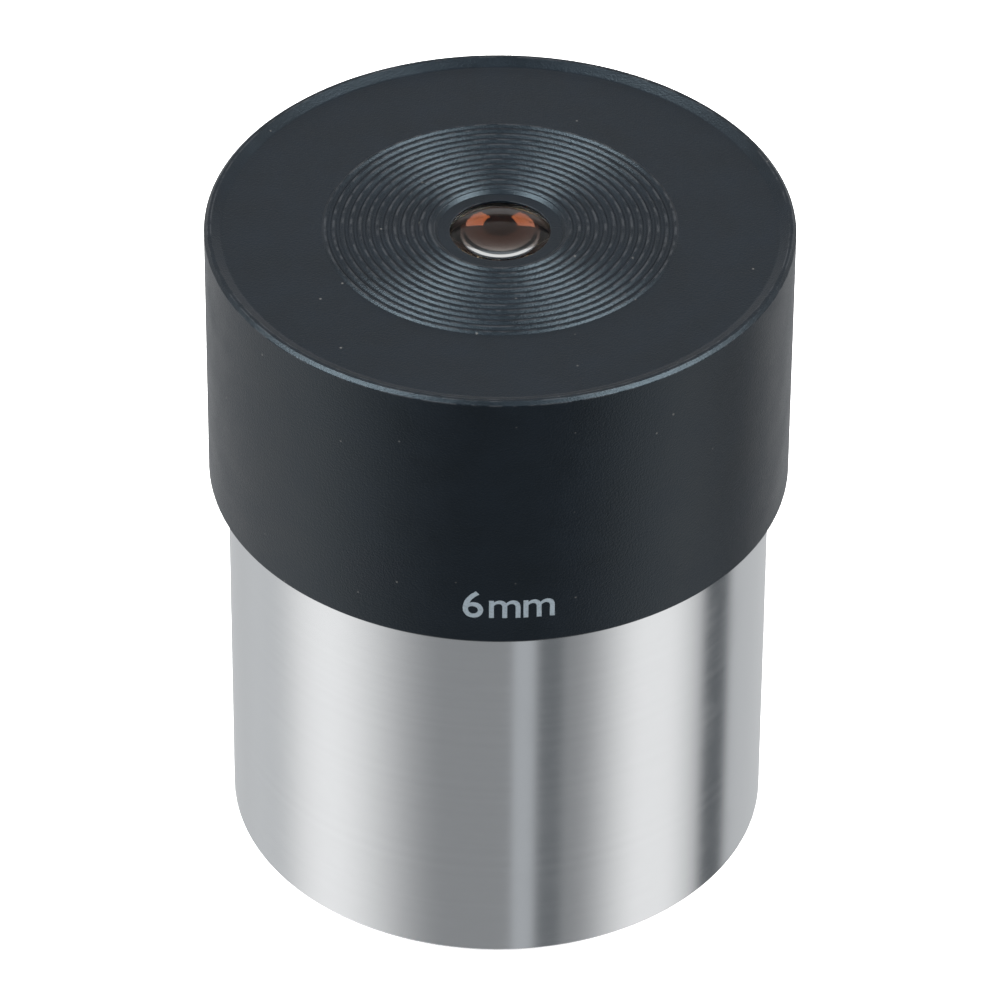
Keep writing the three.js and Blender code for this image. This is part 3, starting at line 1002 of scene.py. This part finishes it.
@dataclass
class TurnedPiece:
    """One plain turned piece, with two spanner slots in its lower face where it has them."""

    node: str
    body: Body
    slot: Slot
    finish: TurnedMetal
    corners: list[Corner]
    slotted: bool = False
    slot_width: float = 1.0
    slot_depth: float = 0.6
    segments: int = 192

    def build(self) -> None:
        """Make the piece, cut its slots and dress it."""
        name = self.node + "_turned"
        piece = revolve(name, rounded(self.corners), self.segments)
        if self.slotted:
            piece = self.cut_slots(piece)
        piece.data.materials.append(self.finish.material())
        place(piece, self.body, self.slot, self.node)

    def cut_slots(self, piece: bpy.types.Object) -> bpy.types.Object:
        """Mill one straight cut right across the lower face, which leaves a slot on each side.

        Args:
            piece: the finished turning.

        Returns:
            The slotted piece.
        """
        box = NodeBox.of(self.node)
        half = np.array([box.radius + 1, self.slot_width / 2, self.slot_depth])
        signs = np.stack(np.meshgrid([-1, 1], [-1, 1], [-1, 1], indexing="ij"), axis=-1)
        verts = (signs.reshape(-1, 3) * half + [0, 0, box.low]) * MM
        faces = [[0, 1, 3, 2], [4, 6, 7, 5], [0, 4, 5, 1], [2, 3, 7, 6], [0, 2, 6, 4], [1, 5, 7, 3]]
        cutter = mesh_object("cutter", verts, faces)
        mill = piece.modifiers.new("mill", "BOOLEAN")
        mill.operation, mill.solver, mill.object = "DIFFERENCE", "EXACT", cutter
        state = bpy.context.evaluated_depsgraph_get()
        milled = bpy.data.meshes.new_from_object(piece.evaluated_get(state))
        piece.modifiers.clear()
        piece.data = milled
        bpy.data.objects.remove(cutter)
        return piece


@dataclass
class LensCell:
    """The stepped tube that carries the glass, its rings, and the field stop below it."""

    cell: NodeBox = field(default_factory=lambda: NodeBox.of("lens_cell"))
    eye_lens: NodeBox = field(default_factory=lambda: NodeBox.of("eye_lens"))
    spacer: NodeBox = field(default_factory=lambda: NodeBox.of("lens_spacer"))
    triplet: NodeBox = field(default_factory=lambda: NodeBox.of("triplet_eye_element"))
    retainer: NodeBox = field(default_factory=lambda: NodeBox.of("lens_retainer"))
    holder: NodeBox = field(default_factory=lambda: NodeBox.of("field_stop_holder"))
    stop: NodeBox = field(default_factory=lambda: NodeBox.of("field_stop"))
    lock: NodeBox = field(default_factory=lambda: NodeBox.of("cell_lock_ring"))
    tube_radius: float = 8.5
    nose_radius: float = 4.9
    nose_length: float = 0.85
    flange_thickness: float = 1.6
    clearance: float = 0.05
    spacer_bore: float = 3.0
    retainer_bore: float = 4.2
    holder_bore: float = 3.2
    stop_bore: float = 4.3
    stop_opening: float = 2.45
    stop_edge: float = 0.1
    lock_bore: float = 9.5
    step_drop: float = 0.3

    def tube(self) -> list[Corner]:
        """Corners of the stepped tube's section."""
        low, high, gap = self.cell.low, self.cell.high, self.clearance
        flange = self.lock.high + gap
        shoulder = flange + self.flange_thickness
        nose = high - self.nose_length
        eye_bore, glass_bore = self.eye_lens.radius + gap, self.triplet.radius + gap
        thread_bore = self.retainer.radius + 2 * gap
        step = self.spacer.low - self.step_drop
        return [
            (thread_bore, low, 0.08),
            (self.tube_radius, low, 0.08),
            (self.tube_radius, flange, 0.05),
            (self.cell.radius, flange, 0.06),
            (self.cell.radius, shoulder, 0.06),
            (self.tube_radius, shoulder, 0.05),
            (self.tube_radius, nose, 0.06),
            (self.nose_radius, nose, 0.05),
            (self.nose_radius, high, 0.05),
            (eye_bore, high, 0.05),
            (eye_bore, step, 0.04),
            (glass_bore, step, 0.04),
            (glass_bore, self.retainer.high + gap, 0.04),
            (thread_bore, self.retainer.high + gap, 0.04),
        ]

    def stop_carrier(self) -> list[Corner]:
        """Corners of the field stop holder's section: a flange, a spigot and a ledge."""
        ledge = self.stop.low - self.clearance
        return [
            (self.holder_bore, self.holder.low, 0.06),
            (self.holder.radius, self.holder.low, 0.1),
            (self.holder.radius, ledge, 0.08),
            (self.retainer.radius, ledge, 0.05),
            (self.retainer.radius, self.holder.high, 0.06),
            (self.stop_bore, self.holder.high, 0.05),
            (self.stop_bore, ledge, 0.04),
            (self.holder_bore, ledge, 0.04),
        ]

    def knife_edge(self) -> list[Corner]:
        """Corners of the field stop's section, bevelled from below to a thin edge."""
        low, high = self.stop.low, self.stop.high
        bevel = high - low - self.stop_edge
        return [
            (self.stop_opening + bevel, low, 0.02),
            (self.stop.radius, low, 0.03),
            (self.stop.radius, high, 0.03),
            (self.stop_opening, high, 0.01),
            (self.stop_opening, high - self.stop_edge, 0.01),
        ]

    @staticmethod
    def ring(box: NodeBox, bore: float) -> list[Corner]:
        """Corners of a plain ring's section."""
        low, high = box.low, box.high
        ends = [(bore, low), (box.radius, low), (box.radius, high), (bore, high)]
        return [(radius, height, 0.05) for radius, height in ends]

    def build(self) -> None:
        """Make the tube, the rings in it, the stop and the ring that locks it in the head."""
        moving, black, brass = Body.LENS_GROUP, Slot.CELL, Slot.BRASS
        spacer = self.ring(self.spacer, self.spacer_bore)
        retainer = self.ring(self.retainer, self.retainer_bore)
        lock = self.ring(self.lock, self.lock_bore)
        pieces = [
            TurnedPiece("lens_cell", moving, black, CELL_BLACK, self.tube()),
            TurnedPiece("lens_spacer", moving, brass, BLACKENED_BRASS, spacer),
            TurnedPiece("lens_retainer", moving, brass, BLACKENED_BRASS, retainer, True),
            TurnedPiece("field_stop_holder", moving, black, CELL_BLACK, self.stop_carrier(), True),
            TurnedPiece("field_stop", moving, brass, BLACKENED_BRASS, self.knife_edge()),
            TurnedPiece("cell_lock_ring", Body.HEAD, brass, BLACKENED_BRASS, lock, True),
        ]
        for piece in pieces:
            piece.build()


@dataclass
class Lens:
    """One lens: two surfaces, each flat or spherical, and a ground rim."""

    node: str
    upper_curve: float
    lower_curve: float
    upper_glass: LensSurface
    lower_glass: LensSurface
    rim: "GroundRim"
    bevel: float = 0.1
    rows: int = 40
    segments: int = 192

    def surface(self, curve: float, radius: Array) -> Array:
        """Depth of a surface below its vertex, which is 0 where it is flat.

        Args:
            curve: radius of curvature, negative where the rim lies beyond the vertex, 0 if flat.
            radius: where to measure.

        Returns:
            The depth, counted inwards from the vertex.
        """
        if not curve:
            return np.zeros_like(radius)
        return math.copysign(1, curve) * sag(abs(curve), radius)

    def build(self) -> None:
        """Make the lens from its CAD box and dress its faces and rim."""
        box = NodeBox.of(self.node)
        radius = np.linspace(0, box.radius - self.bevel, self.rows)
        rim = np.array([box.radius])
        top = box.high if self.upper_curve >= 0 else box.high + self.surface(self.upper_curve, rim)[0]
        bottom = box.low if self.lower_curve >= 0 else box.low - self.surface(self.lower_curve, rim)[0]
        upper = top - self.surface(self.upper_curve, radius)
        lower = bottom + self.surface(self.lower_curve, radius)
        side_low = bottom + self.surface(self.lower_curve, rim)[0] + self.bevel
        side_high = top - self.surface(self.upper_curve, rim)[0] - self.bevel
        side = np.array([[box.radius, side_low], [box.radius, side_high]])
        below = np.stack([radius, lower], axis=-1)
        above = np.stack([radius, upper], axis=-1)[::-1]
        outline = np.concatenate([below, side, above])
        piece = revolve_solid(self.node + "_glass", outline, self.segments)
        for finish in (self.upper_glass, self.lower_glass, self.rim):
            piece.data.materials.append(finish.material())
        self.dress(piece, side_low - self.bevel, side_high + self.bevel, box.radius - self.bevel)
        place(piece, Body.LENS_GROUP, Slot.GLASS, self.node)

    def dress(self, piece: bpy.types.Object, low: float, high: float, clear: float) -> None:
        """Give faces outside the clear radius the rim's finish, and the rest that of their side.

        Args:
            piece: the lens.
            low: height of the lower surface's edge.
            high: height of the upper surface's edge.
            clear: radius inside which the lens is polished.
        """
        centres = np.empty(len(piece.data.polygons) * 3)
        normals = np.empty(len(piece.data.polygons) * 3)
        piece.data.polygons.foreach_get("center", centres)
        piece.data.polygons.foreach_get("normal", normals)
        centres = centres.reshape(-1, 3) / MM
        outside = np.hypot(centres[:, 0], centres[:, 1]) > clear
        facing_down = normals.reshape(-1, 3)[:, 2] < 0
        index = np.where(outside, 2, np.where(facing_down, 1, 0)).astype(np.int32)
        piece.data.polygons.foreach_set("material_index", index)
        piece.data.update()


# ---------------------------------------------------------------------------
# Studio
# ---------------------------------------------------------------------------


@dataclass(frozen=True)
class Card:
    """A soft-edged panel round the object, by its bearing from the front and its height."""

    bearing: float
    half_width: float
    softness: float
    color: tuple[float, float, float]
    low: float
    high: float
    rise: float = 8.0

    def over(self, shading: Shading, direction: Socket, height: Socket, below: Socket) -> Socket:
        """Lay the card over what lies behind it.

        Its weight is a smooth step of the angle between the level direction and the card's
        bearing, times one at its lower and one at its upper edge.

        Args:
            shading: the world's tree.
            direction: the level direction, of length one.
            height: the angle above the horizon.
            below: the colour behind the card.

        Returns:
            The colour with the card.
        """
        turn = math.radians(self.bearing)
        centre = (math.sin(turn), -math.cos(turn), 0.0)
        product = shading.add("VectorMath", {0: direction, 1: centre}, operation="DOT_PRODUCT")
        away = shading.math("ARCCOSINE", product.outputs["Value"])
        inner, outer = math.radians(self.half_width), math.radians(self.half_width + self.softness)
        weight = shading.ramp(away, outer, inner)
        low, high, rise = (math.radians(value) for value in (self.low, self.high, self.rise))
        weight = shading.math("MULTIPLY", weight, shading.ramp(height, low - rise, low))
        weight = shading.math("MULTIPLY", weight, shading.ramp(height, high + rise, high))
        return shading.blend(weight, below, self.color + (1.0,))


def neutral(level: float, blue: float = 0.0) -> tuple[float, float, float]:
    """A grey of a level, made colder by a share."""
    return (level * (1 - blue), level, level * (1 + blue))


@dataclass
class Studio:
    """A white floor between two big side lights, with a dim room in front."""

    floor_size: float = 3.0
    floor_drop: float = 0.02
    room: tuple[float, float, float] = neutral(0.33, 0.03)
    lower_cards: tuple[Card, ...] = (
        Card(180, 62, 25, neutral(0.62, 0.02), -95, 5),
        Card(-78, 0, 56, neutral(1.12), -95, 5),
        Card(-121, 4, 23, neutral(0.68, 0.02), -95, 5),
        Card(72, 5, 36, neutral(1.08), -95, 5),
        Card(109, 5, 8, neutral(0.13, 0.08), -95, 5),
        Card(23, 2.5, 5.5, neutral(0.19, 0.06), -95, 5),
        Card(11.5, 3, 3.5, neutral(0.54, 0.04), -95, 5),
    )
    upper_cards: tuple[Card, ...] = (
        Card(180, 85, 25, neutral(0.83, -0.03), 5, 60),
        Card(180, 60, 25, neutral(0.14, 0.1), 20, 28, 3),
        Card(180, 38, 12, neutral(0.74, 0.03), 7, 16, 3),
        Card(-67, 23, 5, neutral(15.0), 31, 62, 4),
        Card(67, 23, 5, neutral(15.0), 31, 62, 4),
    )

    def build(self) -> None:
        """Set the surroundings and lay the floor."""
        bpy.context.scene.view_settings.view_transform = "Standard"
        self.set_world()
        self.lay_floor()

    def set_world(self) -> None:
        """Paint the surroundings by direction, and show a plain pale backdrop to the camera."""
        world = bpy.data.worlds.new("studio")
        world.use_nodes = True
        world.node_tree.nodes.clear()
        shading = Shading(world.node_tree)
        ray = shading.add("TexCoord").outputs["Generated"]
        part = shading.add("SeparateXYZ", {0: ray}).outputs
        level = shading.add("CombineXYZ", {0: part[0], 1: part[1], 2: 0.0}).outputs[0]
        direction = shading.add("VectorMath", {0: level}, operation="NORMALIZE").outputs[0]
        height = shading.math("ARCSINE", part[2])
        color = self.room + (1.0,)
        for card in (*self.lower_cards, *self.upper_cards):
            color = card.over(shading, direction, height, color)
        seen = shading.add("LightPath").outputs["Is Camera Ray"]
        color = shading.blend(seen, color, grey(1.0))
        background = shading.add("Background", {"Color": color})
        shading.add("OutputWorld", {"Surface": background.outputs[0]})
        bpy.context.scene.world = world

    def lay_floor(self) -> None:
        """Lay a plain white floor just under the barrel, which only the camera sees."""
        half = self.floor_size / 2
        corner = np.array([[-1, -1, 0], [1, -1, 0], [1, 1, 0], [-1, 1, 0]]) * half
        corner[:, 2] = -self.floor_drop * MM
        floor = mesh_object("floor", corner, [[0, 1, 2, 3]])
        material, shading, shader = new_material("white_floor")
        shader.inputs["Base Color"].default_value = grey(0.85)
        shader.inputs["Roughness"].default_value = 0.9
        shader.inputs["Specular IOR Level"].default_value = 0.0
        shader.inputs["Emission Color"].default_value = grey(1.0)
        shader.inputs["Emission Strength"].default_value = 0.55
        floor.data.materials.append(material)
        floor.visible_glossy = False
        floor.visible_diffuse = False
        floor.visible_transmission = False


@dataclass
class Viewpoint:
    """A long lens looking down at the front of the eyepiece."""

    distance: float = 457.6
    elevation: float = math.radians(38.22)
    aim: float = 21.53
    roll: float = 0.0065
    lens: float = 279.6
    sensor: float = 36.0
    shift: float = 0.0016

    def build(self) -> None:
        """Create the camera and make it the scene's."""
        data = bpy.data.cameras.new("camera")
        data.lens = self.lens
        data.sensor_width = self.sensor
        data.shift_x = self.shift
        data.clip_start = 0.01
        camera = bpy.data.objects.new("camera", data)
        level = self.distance * math.cos(self.elevation)
        height = self.aim + self.distance * math.sin(self.elevation)
        camera.location = Vector((0.0, -level, height)) * MM
        tilt = Euler((math.pi / 2 - self.elevation, 0.0, 0.0)).to_matrix()
        roll = Euler((0.0, 0.0, self.roll)).to_matrix()
        camera.rotation_euler = (tilt @ roll).to_euler()
        bpy.context.scene.collection.objects.link(camera)
        bpy.context.scene.camera = camera


def glass() -> list[Lens]:
    """The eye lens and the three cemented elements behind it, from the eye downwards."""
    eye_front, eye_back, outer, inner = 9.0, 7.0, 9.0, 8.0
    return [
        Lens("eye_lens", eye_front, eye_back, EYE_SIDE, EYE_INSIDE, BLACK_RIM),
        Lens("triplet_eye_element", outer, inner, TRIPLET_COAT, CEMENT, BLACK_RIM),
        Lens("triplet_flint_element", -inner, -inner, CEMENT, CEMENT, BLACK_RIM),
        Lens("triplet_field_element", inner, outer, CEMENT, TRIPLET_COAT, BLACK_RIM),
    ]


def main() -> None:
    """Build the camera, the studio and every sub-assembly, in order."""
    Viewpoint().build()
    Studio().build()
    Barrel().build()
    Head().build()
    LensCell().build()
    for lens in glass():
        lens.build()
    log.info("done")


if __name__ == "__main__":
    main()
